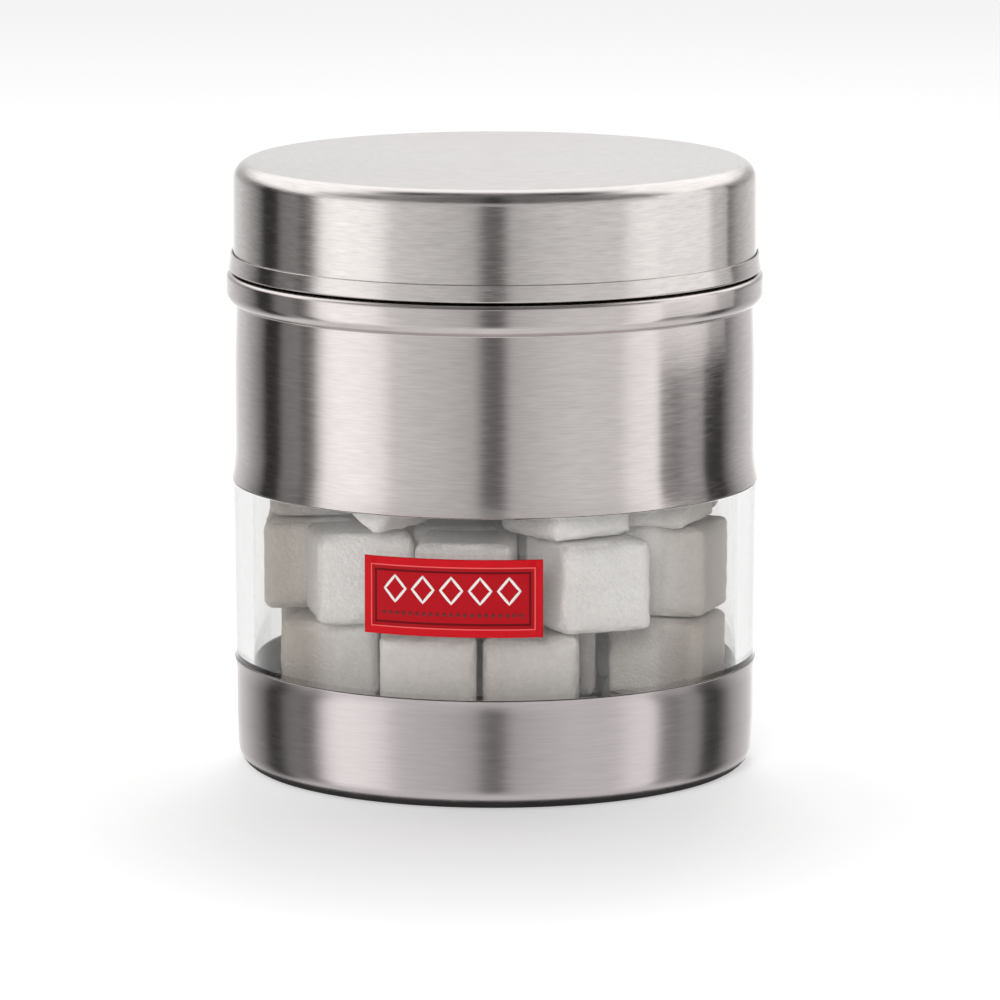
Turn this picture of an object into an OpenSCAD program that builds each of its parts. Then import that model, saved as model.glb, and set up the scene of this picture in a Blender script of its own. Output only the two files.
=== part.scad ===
// See-through storage canister: steel cup, clear window ring, steel shell and push-on lid.
// Millimetres. The canister stands on z = 0, its axis is Z, and its label faces -Y.

/* [Canister] */
// Outside diameter of the upper shell's steel wall
wall_d = 99; // [80:0.5:140]
// Height from the table to the top of the closed lid
total_h = 116.2; // [96:0.2:160]
// Thickness of the steel sheet
sheet_t = 0.4; // [0.3:0.05:0.5]

/* [Lid] */
// Outside height of the lid
lid_h = 20.8; // [17:0.2:30]
// Radial room between the neck and the inside of the lid
lid_fit = 0.3; // [0.2:0.05:0.5]
// Outside radius of the lid's top edge
lid_round = 3.2; // [1.5:0.1:6]
// Rise of the lid's top from its edge to its middle
lid_crown = 0.2; // [0.1:0.1:1]
// Height of the folded hem
hem_h = 3.3; // [2:0.1:5]
// How far the hem leans out at its foot
hem_lean = 0.3; // [0.1:0.05:0.5]
// Inside radius of the hem's fold
hem_fold = 0.1; // [0.05:0.05:0.2]
// Room between the lid's wall and the hem's free edge
hem_gap = 0.12; // [0.1:0.02:0.3]
// Gap between the closed lid's hem and the bead's ledge
seat_gap = 0.35; // [0.3:0.05:0.8]

/* [Neck and bead] */
// Height of the neck above the bead's ledge
neck_h = 14; // [8:0.5:15.5]
// How far the neck is drawn in from the wall
neck_in = 0.45; // [0.2:0.05:1]
// Outside radius of the curled rim
curl_r = 0.9; // [0.7:0.05:1.2]
// Angle round which the rim is curled
curl_turn = 240; // [180:5:250]
// Radius in the corner between neck and ledge
neck_fillet = 0.5; // [0.2:0.05:0.6]
// How far the bead stands out from the wall
bead_out = 1.6; // [1.2:0.1:3]
// Height of the bead from its ledge to where it meets the wall
bead_h = 6.15; // [5:0.05:9]
// Radius of the bead's upper edge
bead_top_r = 1; // [0.6:0.1:1.2]
// Radius of the bead's rounded underside
bead_low_r = 2.4; // [2:0.1:3]
// Radius where the underside turns into the wall
bead_fillet = 0.3; // [0.1:0.1:0.6]
// How far the wall is drawn in just under the bead
waist_in = 0.3; // [0.1:0.1:0.4]
// Height over which the wall comes out to its full size
waist_h = 10; // [4:0.5:12]
// How far the shell's lip flares out
shell_flare = 0.7; // [0.5:0.05:1.2]
// Height of the shell's flare
shell_flare_h = 6; // [4:0.5:9]

/* [Window ring] */
// Visible height of the window between the two lips
window_h = 34.5; // [24:0.5:45]
// Wall thickness of the window at its lower end
window_t = 3.5; // [2.5:0.1:4]
// How far the steel lips stand proud of the window
window_set = 0.22; // [0.1:0.02:0.4]
// Gap between each lip's edge and the window's shoulder
butt_gap = 0.15; // [0.1:0.05:0.3]
// Thickness of the sealant between spigot and wall
seal_t = 0.4; // [0.2:0.05:0.6]
// Height of the sealant past the flare
seal_h = 3; // [1.5:0.5:5]
// Length of spigot past the sealant
spigot_end = 0.6; // [0.4:0.1:2]

/* [Bottom cup] */
// Height of the cup from the table to its lip
cup_h = 20.9; // [17:0.1:32]
// How much smaller the cup's wall radius is than the shell's
cup_less = 0.1; // [0:0.05:0.3]
// How far the cup's lip flares out
cup_flare = 0.45; // [0.3:0.05:0.8]
// Height of the cup's flare
cup_flare_h = 3; // [2:0.5:4]
// How far the wall comes in towards the foot
cup_taper = 0.25; // [0.1:0.05:0.6]
// Height at which the taper starts
cup_taper_h = 10; // [7:0.5:11]
// Outside radius of the cup's lower corner
cup_round = 4; // [2:0.1:6]
// Width of the flat foot
foot_w = 4; // [2:0.5:10]
// Rise of the base panel above the table
base_rise = 0.6; // [0.5:0.1:3]

/* [Label] */
// Width of the label along its curve
label_w = 34; // [15:0.1:60]
// Height of the label
label_h = 14.6; // [8:0.1:22]
// Height of the label's lower edge above the cup's lip
label_up = 12.1; // [1:0.1:14]
// Turn of the label's middle from straight ahead
label_turn = -9.3; // [-180:0.1:180]
// Thickness of the label
label_t = 0.2; // [0.1:0.05:0.4]
// Thickness of the glue film under the label
glue_t = 0.05; // [0.02:0.01:0.1]

/* [Sugar cubes] */
// How many cube widths would span the inside of the window ring
sugar_across = 5.1; // [5.1:0.1:7]
// Height of a cube
sugar_h = 16.1; // [10:0.1:16.5]
// Gap between layers of cubes
sugar_gap = 0.1; // [0.05:0.05:0.3]
// Room between the outermost cubes and the window
sugar_room = 0.25; // [0.2:0.05:1]

/* [Hidden] */
$fn = 96;
ARC_STEP = 12; // most degrees between two points of an arc
FLARE_POINTS = 6; // points along a flare or the lid's crown

// Levels
seam_z = total_h - lid_h;
ledge_z = seam_z - seat_gap;
neck_top_z = ledge_z + neck_h;
bead_foot_z = ledge_z - bead_h;
shell_lip_z = cup_h + window_h;
floor_z = base_rise + sheet_t;

// Radii
wall_r = wall_d / 2;
neck_r = wall_r - neck_in;
bead_r = wall_r + bead_out;
waist_r = wall_r - waist_in;
lid_wall_r = neck_r + lid_fit + sheet_t;
hem_foot_r = lid_wall_r + hem_lean;
cup_r = wall_r - cup_less;
foot_r = cup_r - cup_taper - cup_round;
window_top_r = wall_r + shell_flare - window_set;
window_low_r = cup_r + cup_flare - window_set;
window_in_r = window_low_r - window_t;
upper_spigot_r = wall_r - sheet_t - seal_t;
lower_spigot_r = cup_r - sheet_t - seal_t;

// Laps: where the sealant and the spigots end inside the steel
upper_seal_z = shell_lip_z + shell_flare_h + seal_h;
lower_seal_z = cup_h - cup_flare_h - seal_h;

// Sugar cubes: plan size and the unit of their places, a fortieth of the room's radius
sugar_room_r = window_in_r - sugar_room;
sugar_w = 2 * sugar_room_r / sugar_across;
sugar_unit = sugar_room_r / 46;

// Height of each layer's cubes as a share of sugar_h: the lower ones lie a little flatter
LAYER_SHARE = [0.95, 0.95, 1.095, 1];

// Cubes of each layer from the bottom up: x and y in units, then yaw and lean in degrees
SUGAR_LAYERS = [
    [[-9.5, -9.5, 1, 0], [9.5, -9.5, -1, 0], [-9.5, 9.5, -1, 0], [9.5, 9.5, 1, 0],
     [-29, -9, 2, 0], [-29, 10, -1, 0], [29, -10, -2, 0], [29, 9.5, 2, 0],
     [-9.5, -29, 2, 0], [9.5, -29, -2, 0], [-9.5, 29, -1, 0], [10, 29, 2, 0]],
    [[-29.4, -15, -8, 0], [-12.15, -31.4, 0, 0], [6.6, -31.4, 0, 0], [32.2, -13.4, -21, 0],
     [-8.9, -12.4, 3, 0], [10.3, -12.4, -3, 0],
     [-32.5, 8.4, 0, 0], [-13.5, 7, 3, 0], [5.6, 6.8, -2, 0], [25, 8.6, 3, 0],
     [-19.2, 27.2, 0, 0], [0, 27.4, -3, 0], [18.9, 27.2, 0, 0]],
    [[-34.7, -4.2, 5, 0], [-25, -21.9, 11.5, 0], [-5.2, -33.2, -5, 0], [16.9, -31.2, 25, 0],
     [32.6, -12.9, -21, 0], [-7.4, -12.6, 6, 0], [11.6, -9.9, 0, 0],
     [-14.4, 7.4, 3, 0], [5.35, 9.15, 0, 0], [25.2, 8.7, 1, 0],
     [-18.6, 27.4, 0, 0], [0, 28.4, 0, 0], [18.85, 27.3, 0, 0]],
    [[-19.4, -29.4, -33, 36], [12.8, -31.4, 37, 0], [29.4, -17.2, -21.5, 0],
     [-34, -4, 8, 0], [-11.6, -5, -8, 0], [9.8, -6, 12, 0], [34.1, 4.3, -2, 0],
     [-27.6, 18.2, 28, 0], [-4, 15, 6, 0], [15.8, 15.4, 0, 0], [0.4, 34.6, 2, 0]]
];

// Points along an arc from angle a0 to angle a1, at most ARC_STEP degrees apart
function arc(centre, r, a0, a1, least = 2) =
    let (n = max(least, ceil(abs(a1 - a0) / ARC_STEP)))
    [for (i = [0:n]) let (a = a0 + (a1 - a0) * i / n) centre + r * [cos(a), sin(a)]];

// Direction of a segment, and the normal on its right-hand side
function unit(v) = v / norm(v);
function right_of(v) = [v[1], -v[0]];

// A path moved to its right by t, kept off the far side of the axis
function inset(path, t) =
    let (last = len(path) - 1)
    [for (i = [0:last])
        let (before = unit(path[max(i, 1)] - path[max(i, 1) - 1]),
             after = unit(path[min(i + 1, last)] - path[min(i + 1, last) - 1]),
             bisector = unit(right_of(before) + right_of(after)),
             p = path[i] + bisector * t / (bisector * right_of(before)))
        [max(p[0], 0), p[1]]];

function reverse(path) = [for (i = [len(path) - 1:-1:0]) path[i]];

// Bend from a vertical wall of radius r at height z out to r + out over the height h below it,
// drawn downwards; flare_in is the same bend seen from the lip down to the wall
function flare_radius(out, h) = (h * h + out * out) / (2 * out);
function flare_angle(out, h) = asin(h / flare_radius(out, h));
function flare_out(r, z, out, h) =
    let (rf = flare_radius(out, h))
    arc([r + rf, z], rf, 180, 180 + flare_angle(out, h), FLARE_POINTS);
function flare_in(r, z, out, h) =
    let (rf = flare_radius(out, h))
    arc([r + rf, z], rf, 180 - flare_angle(out, h), 180, FLARE_POINTS);

// The bead's underside: a round of bead_low_r that turns into the waist through bead_fillet
under_r = bead_low_r + bead_fillet;
under_a = acos(1 - (bead_r - waist_r) / under_r);
under_h = under_r * sin(under_a);
function bead_underside() = concat(
    arc([bead_r - bead_low_r, bead_foot_z + under_h], bead_low_r, 0, -under_a),
    arc([waist_r + bead_fillet, bead_foot_z], bead_fillet, 180 - under_a, 180));

// Outer outlines of the three drawn pieces, each followed with its inside on the right
crown_w = lid_wall_r - lid_round;
crown_r = (crown_w * crown_w + lid_crown * lid_crown) / (2 * lid_crown);
crown_a = asin(crown_w / crown_r);
lid_path = concat(
    arc([0, total_h - crown_r], crown_r, 90, 90 - crown_a, FLARE_POINTS),
    arc([crown_w, total_h - lid_crown - lid_round], lid_round, 90 - ARC_STEP, 0),
    [[lid_wall_r, seam_z + hem_h]],
    arc([hem_foot_r + hem_fold, seam_z + sheet_t + hem_fold], hem_fold, 180, 360, 4),
    [[lid_wall_r + hem_gap, seam_z + hem_h]]);

shell_flare_path = flare_out(wall_r, shell_lip_z + shell_flare_h, shell_flare, shell_flare_h);
shell_path = concat(
    arc([neck_r - curl_r, neck_top_z - curl_r], curl_r, curl_turn, 0),
    arc([neck_r + neck_fillet, ledge_z + neck_fillet], neck_fillet, 180, 270),
    arc([bead_r - bead_top_r, ledge_z - bead_top_r], bead_top_r, 90, 0),
    bead_underside(),
    [[wall_r, bead_foot_z - waist_h]],
    shell_flare_path);

cup_flare_path = flare_in(cup_r, cup_h - cup_flare_h, cup_flare, cup_flare_h);
cup_path = concat(
    cup_flare_path,
    [[cup_r, cup_taper_h]],
    arc([foot_r, cup_round], cup_round, 0, -90),
    [[foot_r - foot_w, 0], [foot_r - foot_w - base_rise, base_rise], [0, base_rise]]);

// A closed ring of sheet that follows a path
module drawn_sheet(path) {
    rotate_extrude()
        polygon(concat(path, reverse(inset(path, sheet_t))));
}

module lid() {
    color([0.78, 0.75, 0.74])
        drawn_sheet(lid_path);
}

module upper_shell() {
    color([0.72, 0.69, 0.68])
        drawn_sheet(shell_path);
}

module bottom_cup() {
    color([0.66, 0.62, 0.62])
        drawn_sheet(cup_path);
}

// Clear ring with its visible band between two shoulders and a spigot beyond each
module window_ring() {
    top_z = upper_seal_z + spigot_end;
    low_z = lower_seal_z - spigot_end;
    color([0.9, 0.95, 1, 0.35])
        rotate_extrude()
            polygon([[window_in_r, low_z], [lower_spigot_r, low_z],
                     [lower_spigot_r, cup_h + butt_gap], [window_low_r, cup_h + butt_gap],
                     [window_top_r, shell_lip_z - butt_gap], [upper_spigot_r, shell_lip_z - butt_gap],
                     [upper_spigot_r, top_z], [window_in_r, top_z]]);
}

// Sealant that fills the lap between a spigot and the inside of the flared steel
module upper_seal() {
    steel = inset(shell_flare_path, sheet_t);
    edge = steel[len(steel) - 1];
    color([0.25, 0.25, 0.26])
        rotate_extrude()
            polygon(concat([[upper_spigot_r, upper_seal_z], [wall_r - sheet_t, upper_seal_z]],
                           steel, [[upper_spigot_r, edge[1]]]));
}

module lower_seal() {
    steel = inset(cup_flare_path, sheet_t);
    color([0.25, 0.25, 0.26])
        rotate_extrude()
            polygon(concat([[lower_spigot_r, steel[0][1]]], steel,
                           [[cup_r - sheet_t, lower_seal_z], [lower_spigot_r, lower_seal_z]]));
}

// Outside radius of the tapered window at height z
function window_r(z) =
    window_low_r + (window_top_r - window_low_r) * (z - cup_h) / window_h;

module label() {
    low = cup_h + label_up;
    high = low + label_h;
    turn = label_w / window_r(low) * 180 / PI;
    color([0.8, 0.08, 0.12])
        rotate([0, 0, -90 + label_turn - turn / 2])
            rotate_extrude(angle = turn)
                polygon([[window_r(low) + glue_t, low], [window_r(low) + glue_t + label_t, low],
                         [window_r(high) + glue_t + label_t, high], [window_r(high) + glue_t, high]]);
}

// How far below its middle a leaning cube's lowest edge reaches
function half_height(lean, h) = (sugar_w * sin(lean) + h * cos(lean)) / 2;

// Where a layer of cubes stands
function layer_z(i) =
    i == 0 ? floor_z + sugar_gap : layer_z(i - 1) + LAYER_SHARE[i - 1] * sugar_h + sugar_gap;

module sugar_cube(place, base_z, h) {
    translate([place[0] * sugar_unit, place[1] * sugar_unit, base_z + half_height(place[3], h)])
        rotate([0, place[3], place[2]])
            cube([sugar_w, sugar_w, h], center = true);
}

module sugar_cubes() {
    color([0.95, 0.95, 0.93])
        for (i = [0:len(SUGAR_LAYERS) - 1])
            for (place = SUGAR_LAYERS[i])
                sugar_cube(place, layer_z(i), LAYER_SHARE[i] * sugar_h);
}

lid();
upper_shell();
window_ring();
bottom_cup();
upper_seal();
lower_seal();
label();
sugar_cubes();
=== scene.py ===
import math

import bmesh
import bpy
from mathutils import Matrix, Vector


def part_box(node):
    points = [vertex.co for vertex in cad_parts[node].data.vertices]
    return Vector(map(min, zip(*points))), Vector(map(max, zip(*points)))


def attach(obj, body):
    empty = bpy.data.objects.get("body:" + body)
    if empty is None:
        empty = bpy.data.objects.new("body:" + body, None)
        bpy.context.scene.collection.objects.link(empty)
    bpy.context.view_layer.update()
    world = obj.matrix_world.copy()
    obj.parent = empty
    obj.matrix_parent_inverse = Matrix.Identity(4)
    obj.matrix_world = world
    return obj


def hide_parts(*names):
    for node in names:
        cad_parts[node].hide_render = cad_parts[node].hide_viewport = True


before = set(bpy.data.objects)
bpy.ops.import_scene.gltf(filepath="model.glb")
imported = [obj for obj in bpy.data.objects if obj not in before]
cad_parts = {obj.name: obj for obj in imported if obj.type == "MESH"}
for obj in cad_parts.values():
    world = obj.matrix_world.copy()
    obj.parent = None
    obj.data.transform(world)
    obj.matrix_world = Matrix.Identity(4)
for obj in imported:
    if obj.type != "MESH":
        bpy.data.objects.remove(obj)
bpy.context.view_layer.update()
mm = 0.001
print("frame loaded:", ", ".join(sorted(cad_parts)))


# the camera looks a little down on the labelled side

viewpoint = {
    "distance": 1417.1 * mm,  # from the canister's axis
    "height": 286.1 * mm,
    "aside": 0.95 * mm,
    "pitch": 9.437,  # degrees below level
    "lens": 270.57,
}


def makeCamera():
    data = bpy.data.cameras.new("camera")
    data.lens = viewpoint["lens"]
    data.sensor_width = 36
    data.clip_start = 0.05
    data.clip_end = 20
    camera = bpy.data.objects.new("camera", data)
    bpy.context.scene.collection.objects.link(camera)
    camera.location = (viewpoint["aside"], -viewpoint["distance"], viewpoint["height"])
    camera.rotation_euler = (math.radians(90 - viewpoint["pitch"]), 0, 0)
    bpy.context.scene.camera = camera


makeCamera()
print("camera placed")


# helpers for node trees and meshes

def newGroup(name, kind, inputs, outputs):
    group = bpy.data.node_groups.new(name, kind)
    for label, socketType, value in inputs:
        socket = group.interface.new_socket(label, in_out="INPUT", socket_type=socketType)
        if value is not None:
            socket.default_value = value
    for label, socketType in outputs:
        group.interface.new_socket(label, in_out="OUTPUT", socket_type=socketType)
    return group, group.nodes.new("NodeGroupInput"), group.nodes.new("NodeGroupOutput")


def feed(tree, socket, value):  # a link if value is a socket, otherwise a plain setting
    if isinstance(value, bpy.types.NodeSocket):
        tree.links.new(value, socket)
    else:
        socket.default_value = value


def add(tree, kind, inputs=None, **settings):
    node = tree.nodes.new(kind)
    for key, value in settings.items():
        setattr(node, key, value)
    for key, value in (inputs or {}).items():
        feed(tree, node.inputs[key], value)
    return node


def math2(tree, operation, a, b=0.0, clamp=False):
    return add(tree, "ShaderNodeMath", {0: a, 1: b}, operation=operation, use_clamp=clamp).outputs[0]


def vector2(tree, operation, a, b=(0.0, 0.0, 0.0)):
    return add(tree, "ShaderNodeVectorMath", {0: a, 1: b}, operation=operation).outputs[0]


def scaled(tree, vector, factor):
    node = add(tree, "ShaderNodeVectorMath", {0: vector}, operation="SCALE")
    feed(tree, node.inputs["Scale"], factor)
    return node.outputs[0]


def same3(tree, kind, value):  # one value for all three channels or directions
    return add(tree, kind, {0: value, 1: value, 2: value}).outputs[0]


def blendColour(tree, factor, a, b, kind="MIX"):
    node = add(tree, "ShaderNodeMix", data_type="RGBA", blend_type=kind)
    for key, value in {"Factor": factor, 6: a, 7: b}.items():
        feed(tree, node.inputs[key], value)
    return node.outputs[2]


def setRamp(node, stops):
    ramp = node.color_ramp
    ramp.interpolation = "LINEAR"
    while len(ramp.elements) > 1:
        ramp.elements.remove(ramp.elements[-1])
    ramp.elements[0].position = stops[0][0]
    ramp.elements[0].color = stops[0][1]
    for position, colour in stops[1:]:
        ramp.elements.new(position).color = colour


def settle(piece):  # its evaluated shape becomes its plain mesh
    evaluated = piece.evaluated_get(bpy.context.evaluated_depsgraph_get())
    mesh = bpy.data.meshes.new_from_object(evaluated)
    mesh.name = piece.name
    piece.modifiers.clear()
    piece.data = mesh


def closeUp(piece):  # seams merged, faces outwards
    work = bmesh.new()
    work.from_mesh(piece.data)
    bmesh.ops.remove_doubles(work, verts=work.verts, dist=0.0005 * mm)
    bmesh.ops.recalc_face_normals(work, faces=work.faces)
    work.to_mesh(piece.data)
    work.free()


def flatsFirst(piece):  # flats stay flat beside small radii
    weighted = piece.modifiers.new("flatsFirst", "WEIGHTED_NORMAL")
    weighted.weight = 60
    settle(piece)


def triangles(piece):
    return sum(len(face.vertices) - 2 for face in piece.data.polygons)


def newPiece(name, mesh):
    piece = bpy.data.objects.new(name, mesh)
    bpy.context.scene.collection.objects.link(piece)
    return piece


def setInputs(modifier, values):  # by socket identifier, before the first evaluation
    for item in modifier.node_group.interface.items_tree:
        if item.item_type == "SOCKET" and item.in_out == "INPUT" and item.name in values:
            modifier[item.identifier] = values[item.name]


# shared shader groups

def makeTurnedGrain():
    group, given, out = newGroup(
        "turnedGrain", "ShaderNodeTree",
        [("Place", "NodeSocketVector", None),
         ("Lines per mm", "NodeSocketFloat", 5.0),
         ("Streak length", "NodeSocketFloat", 12.0),
         ("Roughness", "NodeSocketFloat", 0.3),
         ("Roughness spread", "NodeSocketFloat", 0.1),
         ("Tone spread", "NodeSocketFloat", 0.1)],
        [("Tone", "NodeSocketFloat"), ("Roughness", "NodeSocketFloat"), ("Height", "NodeSocketFloat")])
    x, y, z = add(group, "ShaderNodeSeparateXYZ", {0: scaled(group, given.outputs["Place"], 1 / mm)}).outputs
    radius = math2(group, "SQRT", math2(group, "ADD", math2(group, "MULTIPLY", x, x), math2(group, "MULTIPLY", y, y)))
    across = math2(group, "SUBTRACT", z, radius)  # up the wall, and outwards on a flat face
    slow = math2(group, "DIVIDE", 1.0, given.outputs["Streak length"])

    def lines(share, detail):
        fast = math2(group, "MULTIPLY", across, math2(group, "MULTIPLY", given.outputs["Lines per mm"], share))
        place = add(group, "ShaderNodeCombineXYZ",
                    {0: math2(group, "MULTIPLY", x, slow), 1: math2(group, "MULTIPLY", y, slow), 2: fast}).outputs[0]
        return add(group, "ShaderNodeTexNoise", {"Vector": place, "Scale": 1.0, "Detail": detail}).outputs["Fac"]

    fine = lines(1.0, 2.0)
    broad = lines(0.2, 1.0)
    mixed = math2(group, "ADD", math2(group, "MULTIPLY", fine, 0.65), math2(group, "MULTIPLY", broad, 0.35))
    around = math2(group, "SUBTRACT", mixed, 0.5)
    tone = math2(group, "ADD", 1.0, math2(group, "MULTIPLY", around, given.outputs["Tone spread"]))
    rough = math2(group, "ADD", given.outputs["Roughness"],
                  math2(group, "MULTIPLY", around, given.outputs["Roughness spread"]), clamp=True)
    feed(group, out.inputs["Tone"], tone)
    feed(group, out.inputs["Roughness"], rough)
    feed(group, out.inputs["Height"], mixed)
    return group


def makeMottle():
    group, given, out = newGroup(
        "mottle", "ShaderNodeTree",
        [("Place", "NodeSocketVector", None),
         ("Patch size mm", "NodeSocketFloat", 3.0),
         ("Grain size mm", "NodeSocketFloat", 0.4)],
        [("Patches", "NodeSocketFloat"), ("Grains", "NodeSocketFloat"), ("Height", "NodeSocketFloat")])

    def sized(size):
        return scaled(group, given.outputs["Place"], math2(group, "DIVIDE", 1 / mm, given.outputs[size]))

    patches = add(group, "ShaderNodeTexNoise",
                  {"Vector": sized("Patch size mm"), "Scale": 1.0, "Detail": 3.0}).outputs["Fac"]
    cells = add(group, "ShaderNodeTexVoronoi", {"Vector": sized("Grain size mm"), "Scale": 1.0}, feature="F1")
    grain = add(group, "ShaderNodeSeparateColor", {0: cells.outputs["Color"]}).outputs[0]
    relief = math2(group, "SUBTRACT", grain, math2(group, "MULTIPLY", cells.outputs["Distance"], 0.8))
    feed(group, out.inputs["Patches"], patches)
    feed(group, out.inputs["Grains"], grain)
    feed(group, out.inputs["Height"], relief)
    return group


turnedGrain = makeTurnedGrain()
mottle = makeMottle()


def newMaterial(name):
    material = bpy.data.materials.new(name)
    material.use_nodes = True
    tree = material.node_tree
    shader = tree.nodes["Principled BSDF"]
    place = tree.nodes.new("ShaderNodeTexCoord").outputs["Object"]
    return material, tree, shader, place


def useGroup(tree, group, place, values):
    node = add(tree, "ShaderNodeGroup", {}, node_tree=group)
    feed(tree, node.inputs["Place"], place)
    for key, value in values.items():
        feed(tree, node.inputs[key], value)
    return node


# steel: spun and brushed round the axis

steelFinishes = {
    "lidSteel": {"colour": (0.62, 0.585, 0.57), "roughness": 0.18, "spread": 0.2, "tone": 0.6,
                 "lines": 5.5, "length": 3.6, "relief": 0.012, "stretch": 0.8},
    "shellSteel": {"colour": (0.60, 0.555, 0.545), "roughness": 0.18, "spread": 0.18, "tone": 0.46,
                   "lines": 5.5, "length": 4.5, "relief": 0.010, "stretch": 0.8},
    # painted shade: the cup's steel has a darker colour than the same steel above it
    "cupSteelShaded": {"colour": (0.53, 0.485, 0.485), "roughness": 0.24, "spread": 0.14, "tone": 0.28,
                 "lines": 5.5, "length": 6.0, "relief": 0.008, "stretch": 0.75},
}


def makeSteel(name):
    finish = steelFinishes[name]
    material, tree, shader, place = newMaterial(name)
    grain = useGroup(tree, turnedGrain, place, {
        "Lines per mm": finish["lines"], "Streak length": finish["length"],
        "Roughness": finish["roughness"], "Roughness spread": finish["spread"], "Tone spread": finish["tone"]})
    tone = same3(tree, "ShaderNodeCombineColor", grain.outputs["Tone"])
    colour = blendColour(tree, 1.0, (*finish["colour"], 1), tone, "MULTIPLY")
    feed(tree, shader.inputs["Base Color"], colour)
    feed(tree, shader.inputs["Roughness"], grain.outputs["Roughness"])
    shader.inputs["Metallic"].default_value = 1.0
    shader.inputs["Anisotropic"].default_value = finish["stretch"]
    shader.inputs["Anisotropic Rotation"].default_value = 0.25
    aroundAxis = add(tree, "ShaderNodeTangent", direction_type="RADIAL", axis="Z")
    feed(tree, shader.inputs["Tangent"], aroundAxis.outputs[0])
    bump = add(tree, "ShaderNodeBump", {"Strength": 1.0, "Distance": finish["relief"] * mm,
                                        "Height": grain.outputs["Height"]})
    feed(tree, shader.inputs["Normal"], bump.outputs[0])
    return material


lidSteel = makeSteel("lidSteel")
shellSteel = makeSteel("shellSteel")
cupSteelShaded = makeSteel("cupSteelShaded")


# clear band, sealant

clearBand = {"colour": (0.92, 0.92, 0.915, 1), "ior": 1.49, "roughness": 0.0,
             "shade": (0.96, 0.955, 0.95, 1)}  # tint of the light that it lets in

sealant = {"dark": (0.16, 0.16, 0.165, 1), "pale": (0.26, 0.255, 0.26, 1), "roughness": 0.55}


def makeClearAcrylic():
    material, tree, shader, place = newMaterial("clearAcrylic")
    shader.inputs["Base Color"].default_value = clearBand["colour"]
    shader.inputs["Roughness"].default_value = clearBand["roughness"]
    shader.inputs["IOR"].default_value = clearBand["ior"]
    shader.inputs["Transmission Weight"].default_value = 1.0
    path = tree.nodes.new("ShaderNodeLightPath")
    passing = math2(tree, "MAXIMUM", path.outputs["Is Shadow Ray"], path.outputs["Is Diffuse Ray"])
    clear = add(tree, "ShaderNodeBsdfTransparent", {0: clearBand["shade"]})
    mix = add(tree, "ShaderNodeMixShader", {0: passing, 1: shader.outputs[0], 2: clear.outputs[0]})
    feed(tree, tree.nodes["Material Output"].inputs["Surface"], mix.outputs[0])
    return material


def makeSealant():
    material, tree, shader, place = newMaterial("sealantRubber")
    spots = useGroup(tree, mottle, place, {"Patch size mm": 6.0, "Grain size mm": 0.3})
    colour = blendColour(tree, spots.outputs["Patches"], sealant["dark"], sealant["pale"])
    feed(tree, shader.inputs["Base Color"], colour)
    shader.inputs["Roughness"].default_value = sealant["roughness"]
    bump = add(tree, "ShaderNodeBump", {"Strength": 0.4, "Distance": 0.03 * mm, "Height": spots.outputs["Height"]})
    feed(tree, shader.inputs["Normal"], bump.outputs[0])
    return material


clearAcrylic = makeClearAcrylic()
sealantRubber = makeSealant()


# turned pieces: each CAD outline, with its sharp corners eased, is spun once round

spinning = {
    "steps": 240,  # round the whole turn
    "sharpFrom": math.radians(28),  # corners that turn less stay as they are
    "cutAtMost": 0.42,  # of the shorter side at a corner
    "lid": {"ease": 0.10 * mm, "material": lidSteel, "slot": "lid_steel", "body": "lid"},
    "upper_shell": {"ease": 0.10 * mm, "material": shellSteel, "slot": "shell_steel", "body": "canister"},
    "window_ring": {"ease": 0.18 * mm, "material": clearAcrylic, "slot": "clear_acrylic", "body": "canister"},
    "bottom_cup": {"ease": 0.10 * mm, "material": cupSteelShaded, "slot": "cup_steel", "body": "canister"},
    "upper_seal": {"ease": 0.04 * mm, "slimmer": 0.86, "material": sealantRubber,
                   "slot": "sealant", "body": "canister"},
    "lower_seal": {"ease": 0.04 * mm, "slimmer": 0.86, "material": sealantRubber,
                   "slot": "sealant", "body": "canister"},
}


def outlineOf(node):  # the CAD node's own points where it crosses the half plane y = 0
    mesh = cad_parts[node].data
    keys = {}
    for vertex in mesh.vertices:
        if abs(vertex.co.y) < 0.002 * mm and vertex.co.x > -0.001 * mm:
            keys[vertex.index] = (round(vertex.co.x * 1e6), round(vertex.co.z * 1e6))
    beside = {key: set() for key in keys.values()}
    for edge in mesh.edges:
        a, b = (keys.get(i) for i in edge.vertices)
        if a and b and a != b:
            beside[a].add(b)
            beside[b].add(a)
    ends = [key for key, others in beside.items() if len(others) == 1]
    here = min(ends) if ends else min(beside)
    chain, before = [here], None
    while True:
        onward = [key for key in beside[here] if key != before and key not in chain[1:]]
        onward = [key for key in onward if key != chain[0]]
        if not onward:
            break
        before, here = here, min(onward)
        chain.append(here)
    points = [Vector((x * 1e-6, z * 1e-6)) for x, z in chain]
    if ends:  # an outline that stops on a flat disc runs on to the axis
        for index in (0, -1):
            if points[index].x > 0.001 * mm:
                points.insert(0 if index == 0 else len(points), Vector((0, points[index].y)))
    return points, not ends


def eased(points, closed, radius, steps=3):
    made = []
    count = len(points)
    for i, point in enumerate(points):
        if not closed and i in (0, count - 1):
            made.append(point)
            continue
        inward, outward = points[i - 1] - point, points[(i + 1) % count] - point
        turn = math.pi - inward.angle(outward)
        if turn < spinning["sharpFrom"]:
            made.append(point)
            continue
        cut = min(radius, spinning["cutAtMost"] * inward.length, spinning["cutAtMost"] * outward.length)
        first, last = point + inward.normalized() * cut, point + outward.normalized() * cut
        for k in range(steps + 1):
            t = k / steps
            made.append((1 - t) ** 2 * first + 2 * t * (1 - t) * point + t * t * last)
    return made


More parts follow.
